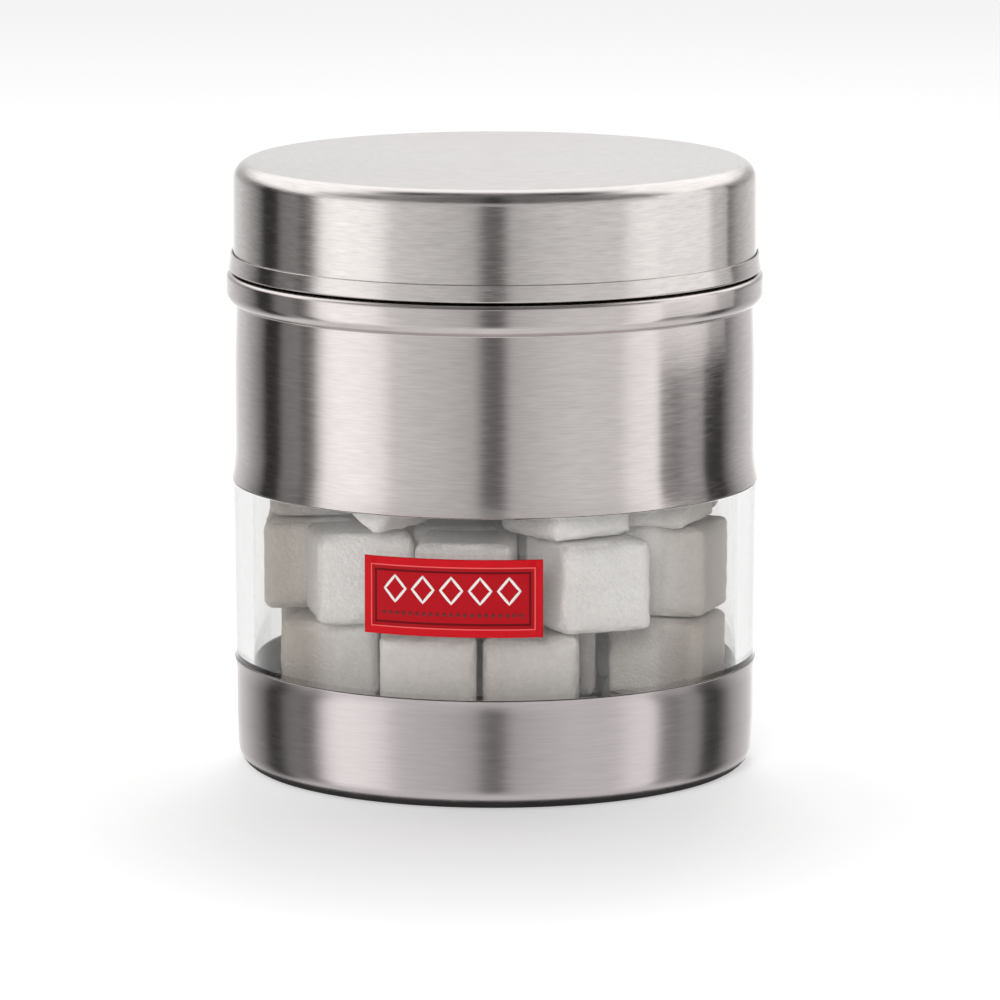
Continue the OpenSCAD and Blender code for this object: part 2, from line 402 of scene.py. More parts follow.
def makeSpunSheet():
    group, given, out = newGroup(
        "spunSheet", "GeometryNodeTree",
        [("Geometry", "NodeSocketGeometry", None),
         ("Path radius", "NodeSocketFloat", 0.05),
         ("Steps round", "NodeSocketInt", 240),
         ("Finish", "NodeSocketMaterial", None)],
        [("Geometry", "NodeSocketGeometry")])
    outline = add(group, "GeometryNodeMeshToCurve", {"Mesh": given.outputs["Geometry"]})
    circle = add(group, "GeometryNodeCurvePrimitiveCircle",
                 {"Resolution": given.outputs["Steps round"], "Radius": given.outputs["Path radius"]})
    spun = add(group, "GeometryNodeCurveToMesh",
               {"Curve": circle.outputs["Curve"], "Profile Curve": outline.outputs["Curve"]})
    merged = add(group, "GeometryNodeMergeByDistance", {"Geometry": spun.outputs[0], "Distance": 0.0005 * mm})
    smooth = add(group, "GeometryNodeSetShadeSmooth", {"Geometry": merged.outputs[0]})
    real = add(group, "GeometryNodeRealizeInstances", {"Geometry": smooth.outputs[0]})
    finished = add(group, "GeometryNodeSetMaterial",
                   {"Geometry": real.outputs[0], "Material": given.outputs["Finish"]})
    feed(group, out.inputs["Geometry"], finished.outputs[0])
    return group


spunSheet = makeSpunSheet()


def spin(node):
    values = spinning[node]
    points, closed = outlineOf(node)
    if "slimmer" in values:  # a hair's gap keeps two touching faces from lying in one place
        middle = (min(point.x for point in points) + max(point.x for point in points)) / 2
        points = [Vector((middle + (point.x - middle) * values["slimmer"], point.y)) for point in points]
    points = eased(points, closed, values["ease"])
    pathRadius = max(point.x for point in points)
    mesh = bpy.data.meshes.new(node + "_spun")
    edges = [(i, i + 1) for i in range(len(points) - 1)] + ([(len(points) - 1, 0)] if closed else [])
    mesh.from_pydata([(point.x - pathRadius, -point.y, 0) for point in points], edges, [])
    piece = newPiece(node + "_spun", mesh)
    modifier = piece.modifiers.new("spin", "NODES")
    modifier.node_group = spunSheet
    setInputs(modifier, {"Path radius": pathRadius, "Steps round": spinning["steps"], "Finish": values["material"]})
    settle(piece)
    closeUp(piece)
    flatsFirst(piece)
    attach(piece, values["body"])
    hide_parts(node)
    print(piece.name, len(points), "outline points,", triangles(piece), "triangles")


for turned in ("lid", "upper_shell", "window_ring", "bottom_cup", "upper_seal", "lower_seal"):
    spin(turned)


# sugar cubes

sugar = {
    "round": 1.6 * mm,  # worn edge
    "cells": 15,  # along each side
    "lumps": 2.2 * mm,  # size of the unevenness
    "lumpDepth": 0.35 * mm,
    "crumble": 1.1 * mm,  # what the edges lose
    "seed": 7.3,
    "colour": (0.89, 0.875, 0.86, 1),
    "shade": (0.72, 0.70, 0.68, 1),
    "grain": 0.6,  # mm
    "sides": (29 * mm, 39 * mm),  # painted shade: sugar further out than this turns to the darker tone
    "bottom": (28 * mm, 36 * mm),  # painted shade too, in part, on the sugar lower than this
    "bottomShadeShare": 0.42,
    "paintedShadeTone": (0.545, 0.495, 0.45, 1),
}


def cubePlaces():  # centre, turn and half size of each cube, in the same order and the same way on every run
    work = bmesh.new()
    work.from_mesh(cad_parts["sugar_cubes"].data)
    bmesh.ops.remove_doubles(work, verts=work.verts, dist=0.001 * mm)
    left, places = set(work.verts), []
    for start in work.verts:
        if start not in left:
            continue
        left.discard(start)
        island, queue = [], [start]
        while queue:
            vertex = queue.pop()
            island.append(vertex)
            for edge in vertex.link_edges:
                other = edge.other_vert(vertex)
                if other in left:
                    left.discard(other)
                    queue.append(other)
        centre = sum((v.co for v in island), Vector()) / len(island)
        normals = {tuple(round(part, 4) for part in f.normal): f.normal for v in island for f in v.link_faces}
        axes = []
        for key in sorted(normals, reverse=True):
            normal = normals[key]
            if all(abs(normal.dot(axis)) < 0.5 for axis, half in axes):
                axes.append((normal.copy(), max((v.co - centre).dot(normal) for v in island)))
        axes.sort(key=lambda pair: -round(pair[1], 6))
        right, front = axes[0][0], axes[1][0]
        up = right.cross(front).normalized()
        turn = Matrix((right, front, up)).transposed().to_euler("XYZ")
        places.append((tuple(centre), tuple(turn), (axes[0][1], axes[1][1], axes[2][1])))
    work.free()
    return sorted(places, key=lambda place: (round(place[0][2], 5), round(place[0][0], 5), round(place[0][1], 5)))


def makeSugarHeap():
    group, given, out = newGroup(
        "sugarHeap", "GeometryNodeTree",
        [("Geometry", "NodeSocketGeometry", None),
         ("Half size", "NodeSocketVector", None),
         ("Worn edge", "NodeSocketFloat", 0.001),
         ("Cells", "NodeSocketInt", 14),
         ("Lump size", "NodeSocketFloat", 0.002),
         ("Lump depth", "NodeSocketFloat", 0.0003),
         ("Crumble", "NodeSocketFloat", 0.0006),
         ("Seed", "NodeSocketFloat", 0.0),
         ("Finish", "NodeSocketMaterial", None)],
        [("Geometry", "NodeSocketGeometry")])
    half, cells = given.outputs["Half size"], given.outputs["Cells"]
    block = add(group, "GeometryNodeMeshCube",
                {"Size": (2, 2, 2), "Vertices X": cells, "Vertices Y": cells, "Vertices Z": cells})
    here = group.nodes.new("GeometryNodeInputPosition").outputs[0]
    # cells gather towards the edges, where the shape turns
    curved = vector2(group, "SINE", vector2(group, "MULTIPLY", here, (math.pi / 2,) * 3))
    gathered = vector2(group, "ADD", vector2(group, "MULTIPLY", curved, (0.7, 0.7, 0.7)),
                       vector2(group, "MULTIPLY", here, (0.3, 0.3, 0.3)))
    placed = vector2(group, "MULTIPLY", gathered, half)
    worn = same3(group, "ShaderNodeCombineXYZ", given.outputs["Worn edge"])
    flat = vector2(group, "SUBTRACT", half, worn)
    inner = vector2(group, "MAXIMUM", vector2(group, "MINIMUM", placed, flat),
                    vector2(group, "MULTIPLY", flat, (-1, -1, -1)))
    beyond = vector2(group, "SUBTRACT", placed, inner)
    outward = vector2(group, "MULTIPLY", vector2(group, "NORMALIZE", beyond), worn)
    # the share worn is 0 on the flats and up to 1 at the corners
    slant = vector2(group, "ABSOLUTE", vector2(group, "NORMALIZE", beyond))
    across, along, up = add(group, "ShaderNodeSeparateXYZ", {0: slant}).outputs
    total = math2(group, "ADD", math2(group, "ADD", across, along), up)
    edgeShare = math2(group, "MULTIPLY", math2(group, "SUBTRACT", total, 1.0), 2.0, clamp=True)
    marked = add(group, "GeometryNodeStoreNamedAttribute",
                 {"Geometry": block.outputs["Mesh"], "Name": "wornShare", "Value": edgeShare},
                 data_type="FLOAT", domain="POINT")
    rounded = add(group, "GeometryNodeSetPosition",
                  {"Geometry": marked.outputs[0], "Position": vector2(group, "ADD", inner, outward)})

    def stored(name, kind):
        return add(group, "GeometryNodeInputNamedAttribute", {"Name": name}, data_type=kind).outputs[0]

    rotation = add(group, "FunctionNodeEulerToRotation", {0: stored("turn", "FLOAT_VECTOR")}).outputs[0]
    heap = add(group, "GeometryNodeInstanceOnPoints",
               {"Points": given.outputs["Geometry"], "Instance": rounded.outputs[0], "Rotation": rotation,
                "Scale": stored("stretch", "FLOAT_VECTOR")})
    real = add(group, "GeometryNodeRealizeInstances", {"Geometry": heap.outputs[0]})
    # unevenness and crumbled edges only ever go inwards
    noisePlace = vector2(group, "DIVIDE", here, same3(group, "ShaderNodeCombineXYZ", given.outputs["Lump size"]))
    noise = add(group, "ShaderNodeTexNoise",
                {"Vector": noisePlace, "W": given.outputs["Seed"], "Scale": 1.0, "Detail": 3.0},
                noise_dimensions="4D").outputs[0]
    share = stored("wornShare", "FLOAT")
    lump = math2(group, "MULTIPLY", noise, given.outputs["Lump depth"])
    bite = math2(group, "MULTIPLY", math2(group, "MULTIPLY", math2(group, "SUBTRACT", noise, 0.35, clamp=True), 2.0),
                 math2(group, "MULTIPLY", share, given.outputs["Crumble"]))
    depth = math2(group, "MULTIPLY", math2(group, "ADD", lump, bite), -1.0)
    normal = group.nodes.new("GeometryNodeInputNormal").outputs[0]
    uneven = add(group, "GeometryNodeSetPosition",
                 {"Geometry": real.outputs[0], "Offset": scaled(group, normal, depth)})
    smooth = add(group, "GeometryNodeSetShadeSmooth", {"Geometry": uneven.outputs[0]})
    last = add(group, "GeometryNodeRealizeInstances", {"Geometry": smooth.outputs[0]})
    finished = add(group, "GeometryNodeSetMaterial",
                   {"Geometry": last.outputs[0], "Material": given.outputs["Finish"]})
    feed(group, out.inputs["Geometry"], finished.outputs[0])
    return group


def makeSugarMaterial():
    material, tree, shader, place = newMaterial("pressedSugar")
    spots = useGroup(tree, mottle, place, {"Patch size mm": 5.0, "Grain size mm": sugar["grain"]})
    tint = math2(tree, "ADD", math2(tree, "MULTIPLY", spots.outputs["Patches"], 0.6),
                 math2(tree, "MULTIPLY", spots.outputs["Grains"], 0.4))
    colour = blendColour(tree, tint, sugar["shade"], sugar["colour"])
    # painted shade: the sugar is darkened towards the sides and towards the bottom
    x, y, z = add(tree, "ShaderNodeSeparateXYZ", {0: place}).outputs
    near, far = sugar["sides"]
    aside = add(tree, "ShaderNodeMapRange",
                {"Value": math2(tree, "ABSOLUTE", x), "From Min": near, "From Max": far})
    low, high = sugar["bottom"]
    lowShade = add(tree, "ShaderNodeMapRange",
                {"Value": z, "From Min": high, "From Max": low, "To Max": sugar["bottomShadeShare"]})
    paintedShade = math2(tree, "ADD", aside.outputs[0], lowShade.outputs[0], clamp=True)
    feed(tree, shader.inputs["Base Color"], blendColour(tree, paintedShade, colour, sugar["paintedShadeTone"], "MULTIPLY"))
    shader.inputs["Roughness"].default_value = 0.5
    shader.inputs["Subsurface Weight"].default_value = 0.25
    shader.inputs["Subsurface Radius"].default_value = (1.0, 0.95, 0.85)
    shader.inputs["Subsurface Scale"].default_value = 1.2 * mm
    bump = add(tree, "ShaderNodeBump", {"Strength": 1.0, "Distance": 0.16 * mm, "Height": spots.outputs["Height"]})
    feed(tree, shader.inputs["Normal"], bump.outputs[0])
    return material


def makeSugar():
    places = cubePlaces()
    plain = places[0][2]
    mesh = bpy.data.meshes.new("sugar_heap")
    mesh.from_pydata([centre for centre, turn, half in places], [], [])
    turns = mesh.attributes.new("turn", "FLOAT_VECTOR", "POINT")
    stretches = mesh.attributes.new("stretch", "FLOAT_VECTOR", "POINT")
    for i, (centre, turn, half) in enumerate(places):
        turns.data[i].vector = turn
        stretches.data[i].vector = [own / usual for own, usual in zip(half, plain)]
    piece = newPiece("sugar_heap", mesh)
    modifier = piece.modifiers.new("heap", "NODES")
    modifier.node_group = makeSugarHeap()
    setInputs(modifier, {
        "Half size": plain, "Worn edge": sugar["round"], "Cells": sugar["cells"],
        "Lump size": sugar["lumps"], "Lump depth": sugar["lumpDepth"], "Crumble": sugar["crumble"],
        "Seed": sugar["seed"], "Finish": makeSugarMaterial()})
    settle(piece)
    for name in ("wornShare", "turn", "stretch"):
        if name in piece.data.attributes:
            piece.data.attributes.remove(piece.data.attributes[name])
    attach(piece, "canister")
    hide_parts("sugar_cubes")
    print(piece.name, len(places), "cubes,", triangles(piece), "triangles")


makeSugar()


# label: a curved plate with a raised frame, and a plain ornament in place of print

label = {
    "edge": 0.12 * mm,  # rounding of the rim
    "lineAt": 1.42 * mm,  # raised line, from the rim
    "lineWidth": 0.2 * mm,
    "grooveAt": 2.25 * mm,
    "grooveWidth": 0.36 * mm,
    "rise": 0.05 * mm,
    "margin": (0.55, 0.006, 0.013, 1),
    "between": (0.38, 0.005, 0.010, 1),
    "panel": (0.43, 0.005, 0.011, 1),
    # painted highlight: the raised line is coloured a lighter red
    "raisedLineHighlight": (0.80, 0.11, 0.11, 1),
    "dark": (0.13, 0.003, 0.006, 1),
    "blur": 0.04,  # mm, between one colour and the next
    "coloured": 5.0,  # mm, from the rim to past the last line
    "roughness": 0.38,
    "sheen": 0.12,
}


def labelPlace():
    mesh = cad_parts["label"].data
    radii = [math.hypot(v.co.x, v.co.y) for v in mesh.vertices]
    angles = [math.atan2(v.co.x, -v.co.y) for v in mesh.vertices]
    low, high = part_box("label")
    outer, first, last = max(radii), min(angles), max(angles)
    return {"inner": min(radii), "outer": outer, "wide": (last - first) * outer, "tall": high.z - low.z,
            "middle": (first + last) / 2, "up": (low.z + high.z) / 2}


plate = labelPlace()


def onPlate(x, y, lift):  # x along the plate and y up it, from its middle
    angle = plate["middle"] + x / plate["outer"]
    reach = plate["outer"] + lift
    return (reach * math.sin(angle), -reach * math.cos(angle), plate["up"] + y)


def plateLines(length):
    a, b = label["lineAt"], label["lineAt"] + label["lineWidth"]
    c, d = label["grooveAt"], label["grooveAt"] + label["grooveWidth"]
    soft = 0.06 * mm
    near = [0, label["edge"] / 2, label["edge"], a - soft, a, b, b + soft, c - soft, c, d, d + soft]
    count = round((length - 2 * near[-1]) / (0.9 * mm))
    step = (length - 2 * near[-1]) / count
    middle = [near[-1] + step * i for i in range(1, count)]
    return [v - length / 2 for v in near + middle + [length - n for n in reversed(near)]]


def plateLift(inset):
    a, b = label["lineAt"], label["lineAt"] + label["lineWidth"]
    c, d = label["grooveAt"], label["grooveAt"] + label["grooveWidth"]
    if inset < label["edge"]:
        return -label["rise"] - label["edge"] * (1 - inset / label["edge"]) ** 2 * 0.6
    if a - 1e-9 <= inset <= b + 1e-9:
        return 0.0
    if c - 1e-9 <= inset <= d + 1e-9:
        return -2 * label["rise"]
    return -label["rise"]


def makeLabelMaterial():
    material, tree, shader, place = newMaterial("labelPrint")
    spread = add(tree, "ShaderNodeUVMap", uv_map="plateUv").outputs[0]
    parts = add(tree, "ShaderNodeSeparateXYZ", {0: spread})

    def fromRim(part, size):  # mm in from the nearer of two opposite edges
        off = math2(tree, "MULTIPLY", math2(tree, "SUBTRACT", part, 0.5), size / mm)
        return math2(tree, "SUBTRACT", size / mm / 2, math2(tree, "ABSOLUTE", off))

    inset = math2(tree, "MINIMUM", fromRim(parts.outputs[0], plate["wide"]), fromRim(parts.outputs[1], plate["tall"]))
    reach = label["coloured"]
    share = math2(tree, "DIVIDE", inset, reach, clamp=True)
    a, b = (at / mm / reach for at in (label["lineAt"], label["lineAt"] + label["lineWidth"]))
    c, d = (at / mm / reach for at in (label["grooveAt"], label["grooveAt"] + label["grooveWidth"]))
    e = label["blur"] / reach
    # the raised line gets the painted highlight colour
    ramp = add(tree, "ShaderNodeValToRGB", {0: share})
    setRamp(ramp, [(0.0, label["margin"]), (a - e, label["margin"]), (a, label["raisedLineHighlight"]), (b, label["raisedLineHighlight"]),
                   (b + e, label["between"]), (c - e, label["between"]), (c, label["dark"]), (d, label["dark"]),
                   (d + e, label["panel"]), (1.0, label["panel"])])
    spots = useGroup(tree, mottle, place, {"Patch size mm": 4.0, "Grain size mm": 0.25})
    tone = math2(tree, "ADD", 0.92, math2(tree, "MULTIPLY", spots.outputs["Patches"], 0.16))
    grey = same3(tree, "ShaderNodeCombineColor", tone)
    feed(tree, shader.inputs["Base Color"], blendColour(tree, 1.0, ramp.outputs[0], grey, "MULTIPLY"))
    rough = math2(tree, "ADD", label["roughness"], math2(tree, "MULTIPLY", spots.outputs["Patches"], 0.12))
    feed(tree, shader.inputs["Roughness"], rough)
    shader.inputs["Specular IOR Level"].default_value = label["sheen"]
    bump = add(tree, "ShaderNodeBump", {"Strength": 0.25, "Distance": 0.01 * mm, "Height": spots.outputs["Height"]})
    feed(tree, shader.inputs["Normal"], bump.outputs[0])
    return material


def makeLabelPlate():
    acrossLines, upLines = plateLines(plate["wide"]), plateLines(plate["tall"])
    columns, rows = len(acrossLines), len(upLines)
    points, faces = [], []
    for y in upLines:
        for x in acrossLines:
            inset = min(plate["wide"] / 2 - abs(x), plate["tall"] / 2 - abs(y))
            points.append(onPlate(x, y, plateLift(inset)))
    back = len(points)
    depth = plate["inner"] - plate["outer"]
    points += [onPlate(x, y, depth) for y in upLines for x in acrossLines]
    for r in range(rows - 1):
        for c in range(columns - 1):
            i = r * columns + c
            faces.append((i, i + 1, i + columns + 1, i + columns))
            faces.append((back + i, back + i + columns, back + i + columns + 1, back + i + 1))
    rim = list(range(columns)) + [r * columns + columns - 1 for r in range(1, rows)]
    rim += [(rows - 1) * columns + c for c in range(columns - 2, -1, -1)]
    rim += [r * columns for r in range(rows - 2, 0, -1)]
    for i, k in enumerate(rim):
        n = rim[(i + 1) % len(rim)]
        faces.append((k, back + k, back + n, n))
    mesh = bpy.data.meshes.new("label_plate")
    mesh.from_pydata(points, [], faces)
    spread = mesh.uv_layers.new(name="plateUv")
    flat = [((x / plate["wide"]) + 0.5, (y / plate["tall"]) + 0.5) for y in upLines for x in acrossLines] * 2
    for loop in mesh.loops:
        spread.data[loop.index].uv = flat[loop.vertex_index]
    piece = newPiece("label_plate", mesh)
    closeUp(piece)
    for face in piece.data.polygons:
        face.use_smooth = True
    piece.data.materials.append(makeLabelMaterial())
    flatsFirst(piece)
    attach(piece, "canister")
    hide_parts("label")
    print(piece.name, triangles(piece), "triangles")


makeLabelPlate()

ornament = {
    "big": {"count": 5, "pitch": 5.4 * mm, "wide": 4.1 * mm, "tall": 4.9 * mm, "stroke": 0.5 * mm, "up": 1.45 * mm,
            "ink": "whiteInk", "colour": (0.85, 0.83, 0.80, 1), "roughness": 0.4},
    "small": {"count": 21, "pitch": 1.3 * mm, "wide": 0.62 * mm, "tall": 0.62 * mm, "stroke": 0.26 * mm,
              "up": -3.1 * mm, "ink": "darkInk", "colour": (0.10, 0.012, 0.014, 1), "roughness": 0.45},
    "thick": 0.05 * mm,
}


def makeOrnamentRow():
    group, given, out = newGroup(
        "ornamentRow", "GeometryNodeTree",
        [("Geometry", "NodeSocketGeometry", None),
         ("Count", "NodeSocketInt", 5), ("Pitch", "NodeSocketFloat", 0.005),
         ("Wide", "NodeSocketFloat", 0.004), ("Tall", "NodeSocketFloat", 0.004),
         ("Stroke", "NodeSocketFloat", 0.0004), ("Thick", "NodeSocketFloat", 0.00005),
         ("Up", "NodeSocketFloat", 0.0), ("Bend radius", "NodeSocketFloat", 0.05),
         ("Bend middle", "NodeSocketFloat", 0.0), ("Middle height", "NodeSocketFloat", 0.04),
         ("Finish", "NodeSocketMaterial", None)],
        [("Geometry", "NodeSocketGeometry")])
    g = given.outputs
    ring = add(group, "GeometryNodeCurvePrimitiveCircle", {"Resolution": 4, "Radius": 0.5})
    size = add(group, "ShaderNodeCombineXYZ", {0: g["Wide"], 1: g["Tall"], 2: 1.0}).outputs[0]
    lozenge = add(group, "GeometryNodeTransform", {"Geometry": ring.outputs["Curve"], "Scale": size})
    finer = add(group, "GeometryNodeSubdivideCurve", {0: lozenge.outputs[0], 1: 3})
    section = add(group, "GeometryNodeCurvePrimitiveQuadrilateral", {"Width": g["Stroke"], "Height": g["Thick"]})
    drawn = add(group, "GeometryNodeCurveToMesh", {"Curve": finer.outputs[0], "Profile Curve": section.outputs[0]})
    half = math2(group, "MULTIPLY", math2(group, "SUBTRACT", g["Count"], 1.0), -0.5)
    start = add(group, "ShaderNodeCombineXYZ", {0: math2(group, "MULTIPLY", half, g["Pitch"]), 1: g["Up"], 2: 0.0})
    step = add(group, "ShaderNodeCombineXYZ", {0: g["Pitch"], 1: 0.0, 2: 0.0})
    row = add(group, "GeometryNodeMeshLine",
              {"Count": g["Count"], "Start Location": start.outputs[0], "Offset": step.outputs[0]})
    many = add(group, "GeometryNodeInstanceOnPoints", {"Points": row.outputs[0], "Instance": drawn.outputs[0]})
    real = add(group, "GeometryNodeRealizeInstances", {"Geometry": many.outputs[0]})
    parts = add(group, "ShaderNodeSeparateXYZ", {0: group.nodes.new("GeometryNodeInputPosition").outputs[0]})
    angle = math2(group, "ADD", math2(group, "DIVIDE", parts.outputs[0], g["Bend radius"]), g["Bend middle"])
    reach = math2(group, "ADD", parts.outputs[2], g["Bend radius"])
    bent = add(group, "ShaderNodeCombineXYZ", {
        0: math2(group, "MULTIPLY", reach, math2(group, "SINE", angle)),
        1: math2(group, "MULTIPLY", math2(group, "MULTIPLY", reach, math2(group, "COSINE", angle)), -1.0),
        2: math2(group, "ADD", parts.outputs[1], g["Middle height"])})
    laid = add(group, "GeometryNodeSetPosition", {"Geometry": real.outputs[0], "Position": bent.outputs[0]})
    last = add(group, "GeometryNodeRealizeInstances", {"Geometry": laid.outputs[0]})
    finished = add(group, "GeometryNodeSetMaterial", {"Geometry": last.outputs[0], "Material": g["Finish"]})
    feed(group, out.inputs["Geometry"], finished.outputs[0])
    return group


def makeInk(values):
    material, tree, shader, place = newMaterial(values["ink"])
    spots = useGroup(tree, mottle, place, {"Patch size mm": 1.5, "Grain size mm": 0.15})
    tone = math2(tree, "ADD", 0.9, math2(tree, "MULTIPLY", spots.outputs["Patches"], 0.2))
    grey = same3(tree, "ShaderNodeCombineColor", tone)
    feed(tree, shader.inputs["Base Color"], blendColour(tree, 1.0, values["colour"], grey, "MULTIPLY"))
    shader.inputs["Roughness"].default_value = values["roughness"]
    bump = add(tree, "ShaderNodeBump", {"Strength": 0.2, "Distance": 0.01 * mm, "Height": spots.outputs["Height"]})
    feed(tree, shader.inputs["Normal"], bump.outputs[0])
    return material


def makeOrnament():
    group = makeOrnamentRow()
    for row in ("big", "small"):
        values = ornament[row]
        piece = newPiece("label_ornament_" + row, bpy.data.meshes.new("label_ornament_" + row))
        modifier = piece.modifiers.new("row", "NODES")
        modifier.node_group = group
        setInputs(modifier, {
            "Count": values["count"], "Pitch": values["pitch"], "Wide": values["wide"], "Tall": values["tall"],
            "Stroke": values["stroke"], "Thick": ornament["thick"], "Up": values["up"],
            "Bend radius": plate["outer"] - label["rise"], "Bend middle": plate["middle"],
            "Middle height": plate["up"], "Finish": makeInk(values)})
        settle(piece)
        closeUp(piece)
        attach(piece, "canister")
        print(piece.name, triangles(piece), "triangles")


makeOrnament()


# floor and light

floor = {
    "size": 8.0,
    "colour": (0.86, 0.86, 0.86, 1),
    "shadedNearGlow": 0.355,  # glow just in front of the canister, lower there as painted shadow, and further out
    "farLift": 0.60,
    "middle": (0, -0.05, 0),
    "stretch": (0.52, 0.5, 1),
    "near": 0.004,
    "far": 0.054,
}

# grey of the studio at eye level, in degrees from straight in front, out to each side
studio = {
    "strength": 1.5,
    "softer": 0.34,  # its share for matt surfaces
    "backdrop": 1.0,
    "left": [(0, 0.10), (4, 0.12), (9, 0.40), (20, 0.48), (34, 0.54), (45, 0.60), (52, 0.86), (60, 0.95), (72, 1.0),
             (80, 0.92), (84, 0.60), (88, 0.20), (93, 0.10), (97, 0.20), (107, 0.18), (112, 0.03), (121, 0.02),
             (128, 0.20), (142, 0.42), (150, 0.51), (160, 0.56), (168, 0.70), (180, 0.88)],
    "right": [(0, 0.10), (3, 0.12), (7, 0.42), (20, 0.51), (34, 0.58), (56, 0.59), (62, 0.78), (76, 0.90), (79, 0.26),
              (88, 0.18), (95, 0.30), (104, 0.30), (107, 0.04), (119, 0.02), (126, 0.18), (134, 0.36), (148, 0.51),
              (158, 0.56), (165, 0.70), (172, 0.88), (180, 0.88)],
    # by height, as the sine of the elevation: share of the side bands, share of the plain grey, that grey
    "before": [(-1.0, 1.0, 1.0, 0.60), (-0.62, 1.0, 1.0, 0.60), (-0.45, 1.0, 0.0, 0.60), (0.18, 1.0, 0.0, 0.60),
               (0.25, 0.6, 0.6, 0.60), (0.42, 0.6, 0.6, 0.60), (0.52, 0.25, 0.0, 1.0), (1.0, 0.25, 0.0, 1.0)],
    "behind": [(-1.0, 1.0, 1.0, 0.60), (-0.62, 1.0, 1.0, 0.60), (-0.45, 1.0, 0.0, 0.60), (-0.03, 1.0, 0.0, 0.60),
               (0.06, 0.67, 0.0, 0.60), (0.22, 0.70, 0.0, 1.0), (0.42, 1.0, 1.0, 1.0), (0.84, 1.0, 1.0, 1.0),
               (0.93, 0.25, 0.0, 1.0), (1.0, 0.25, 0.0, 1.0)],
}

# along the card, in metres, and how bright it is there
sideCard = {"x": 132 * mm, "fromY": -63 * mm, "toY": 34 * mm, "fromZ": 73 * mm, "toZ": 160 * mm,
            "glow": [(-0.064, 1.25), (-0.002, 1.2), (0.006, 0.8), (0.034, 0.66)]}

lamps = {
    "key": {"place": (-0.14, -1.0, 0.36), "aim": (0, 0, 0.045), "size": 0.3, "power": 4.9},
    "back": {"place": (0.06, 0.85, 0.95), "aim": (0, 0, 0.06), "size": 0.4, "power": 3.0},
}

contactShade = {"radius": 49.5 * mm, "sides": 96, "grey": (0.06, 0.06, 0.06, 1)}


def onlyMirrored(piece, material):  # seen by the shiny pieces and by nothing else
    piece.visible_camera = piece.visible_diffuse = piece.visible_transmission = piece.visible_shadow = False
    piece.data.materials.append(material)


def makeContactShade():  # a dark disc that only the rounded foot mirrors
    mesh = bpy.data.meshes.new("contact_shade")
    sides, reach = contactShade["sides"], contactShade["radius"]
    turn = 2 * math.pi / sides
    rim = [(reach * math.cos(turn * i), reach * math.sin(turn * i), -0.5 * mm) for i in range(sides)]
    mesh.from_pydata(rim, [], [tuple(range(sides))])
    material, tree, shader, place = newMaterial("shadedFloor")
    shader.inputs["Base Color"].default_value = contactShade["grey"]
    shader.inputs["Specular IOR Level"].default_value = 0.0
    onlyMirrored(newPiece("contact_shade", mesh), material)


def makeFloor():
    mesh = bpy.data.meshes.new("floor")
    half = floor["size"] / 2
    mesh.from_pydata([(-half, -half, 0), (half, -half, 0), (half, half, 0), (-half, half, 0)], [], [(0, 1, 2, 3)])
    piece = newPiece("floor", mesh)
    piece.visible_glossy = False
    material, tree, shader, place = newMaterial("paleFloor")
    shader.inputs["Base Color"].default_value = floor["colour"]
    shader.inputs["Roughness"].default_value = 0.9
    shader.inputs["Specular IOR Level"].default_value = 0.0
    # painted shadow: the glow is lower near the canister's front and rises further out
    squeezed = vector2(tree, "MULTIPLY", vector2(tree, "SUBTRACT", place, floor["middle"]), floor["stretch"])
    away = add(tree, "ShaderNodeVectorMath", {0: squeezed}, operation="LENGTH").outputs["Value"]
    lift = add(tree, "ShaderNodeMapRange", {"Value": away, "From Min": floor["near"], "From Max": floor["far"],
                                            "To Min": floor["shadedNearGlow"], "To Max": floor["farLift"]})
    feed(tree, shader.inputs["Emission Color"], same3(tree, "ShaderNodeCombineColor", lift.outputs[0]))
    shader.inputs["Emission Strength"].default_value = 1.0
    mesh.materials.append(material)


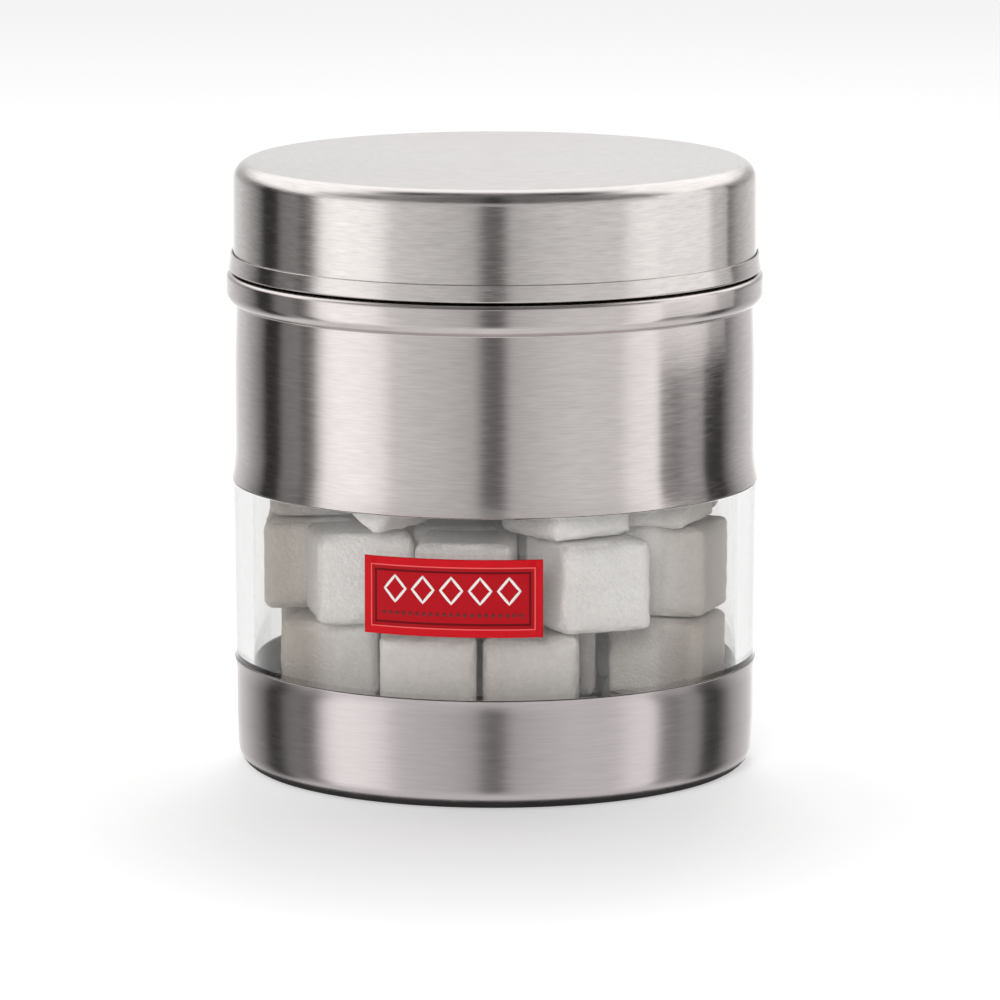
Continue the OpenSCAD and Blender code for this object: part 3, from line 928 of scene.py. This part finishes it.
def makeStudio():
    world = bpy.data.worlds.new("studio")
    bpy.context.scene.world = world
    world.use_nodes = True
    tree = world.node_tree
    tree.nodes.clear()
    way = add(tree, "ShaderNodeSeparateXYZ", {0: tree.nodes.new("ShaderNodeTexCoord").outputs["Generated"]})
    x, y, z = way.outputs
    angle = math2(tree, "ARCTAN2", x, math2(tree, "MULTIPLY", y, -1.0))
    sides = {}
    for side, sign in (("left", -1), ("right", 1)):
        sides[side] = add(tree, "ShaderNodeValToRGB", {0: math2(tree, "DIVIDE", angle, sign * math.pi, clamp=True)})
        setRamp(sides[side], [(degrees / 180, (grey, grey, grey, 1)) for degrees, grey in studio[side]])
    onRight = math2(tree, "GREATER_THAN", angle, 0.0)
    bands = blendColour(tree, onRight, sides["left"].outputs[0], sides["right"].outputs[0])
    halves = []
    for half in ("before", "behind"):
        ramp = add(tree, "ShaderNodeValToRGB", {0: math2(tree, "ADD", math2(tree, "MULTIPLY", z, 0.5), 0.5)})
        setRamp(ramp, [((sine + 1) / 2, (share, plain, grey, 1)) for sine, share, plain, grey in studio[half]])
        halves.append(ramp.outputs[0])
    toBack = math2(tree, "ADD", math2(tree, "MULTIPLY", y, 3.0), 0.5, clamp=True)
    share, plain, grey = add(tree, "ShaderNodeSeparateColor", {0: blendColour(tree, toBack, *halves)}).outputs
    even = same3(tree, "ShaderNodeCombineColor", grey)
    colour = blendColour(tree, plain, scaled(tree, bands, share), even)
    path = tree.nodes.new("ShaderNodeLightPath")
    softer = math2(tree, "MULTIPLY", path.outputs["Is Diffuse Ray"], studio["softer"] - 1)
    strength = math2(tree, "MULTIPLY", math2(tree, "ADD", softer, 1.0), studio["strength"])
    room = add(tree, "ShaderNodeBackground", {0: colour, 1: strength})
    white = add(tree, "ShaderNodeBackground", {0: (1, 1, 1, 1), 1: studio["backdrop"]})
    both = add(tree, "ShaderNodeMixShader",
               {0: path.outputs["Is Camera Ray"], 1: room.outputs[0], 2: white.outputs[0]})
    out = tree.nodes.new("ShaderNodeOutputWorld")
    feed(tree, out.inputs["Surface"], both.outputs[0])


def makeSideCard():  # an upright card that only the shiny pieces see, level with the lid
    mesh = bpy.data.meshes.new("side_card")
    card = sideCard
    corners = [("fromY", "fromZ"), ("toY", "fromZ"), ("toY", "toZ"), ("fromY", "toZ")]
    mesh.from_pydata([(card["x"], card[y], card[z]) for y, z in corners], [], [(0, 1, 2, 3)])
    material, tree, shader, place = newMaterial("cardGlow")
    shader.inputs["Base Color"].default_value = (0, 0, 0, 1)
    shader.inputs["Specular IOR Level"].default_value = 0.0
    along = add(tree, "ShaderNodeSeparateXYZ", {0: place}).outputs[1]
    reach = card["toY"] - card["fromY"]
    ramp = add(tree, "ShaderNodeValToRGB",
               {0: math2(tree, "DIVIDE", math2(tree, "SUBTRACT", along, card["fromY"]), reach, clamp=True)})
    setRamp(ramp, [(max(0.0, (y - card["fromY"]) / reach), (glow, glow, glow, 1)) for y, glow in card["glow"]])
    feed(tree, shader.inputs["Emission Color"], ramp.outputs[0])
    shader.inputs["Emission Strength"].default_value = 1.0
    onlyMirrored(newPiece("side_card", mesh), material)


def makeLamps():  # soft panels that light the sugar and the label
    for name, values in lamps.items():
        data = bpy.data.lights.new(name, "AREA")
        data.shape, data.size, data.energy = "SQUARE", values["size"], values["power"]
        lamp = bpy.data.objects.new(name, data)
        bpy.context.scene.collection.objects.link(lamp)
        lamp.location = values["place"]
        aim = Vector(values["aim"]) - Vector(values["place"])
        lamp.rotation_euler = aim.to_track_quat("-Z", "Y").to_euler()
        lamp.visible_glossy = lamp.visible_camera = False


makeFloor()
makeContactShade()
makeSideCard()
makeLamps()
makeStudio()
bpy.context.scene.view_settings.view_transform = "Standard"
print("floor and studio light made")
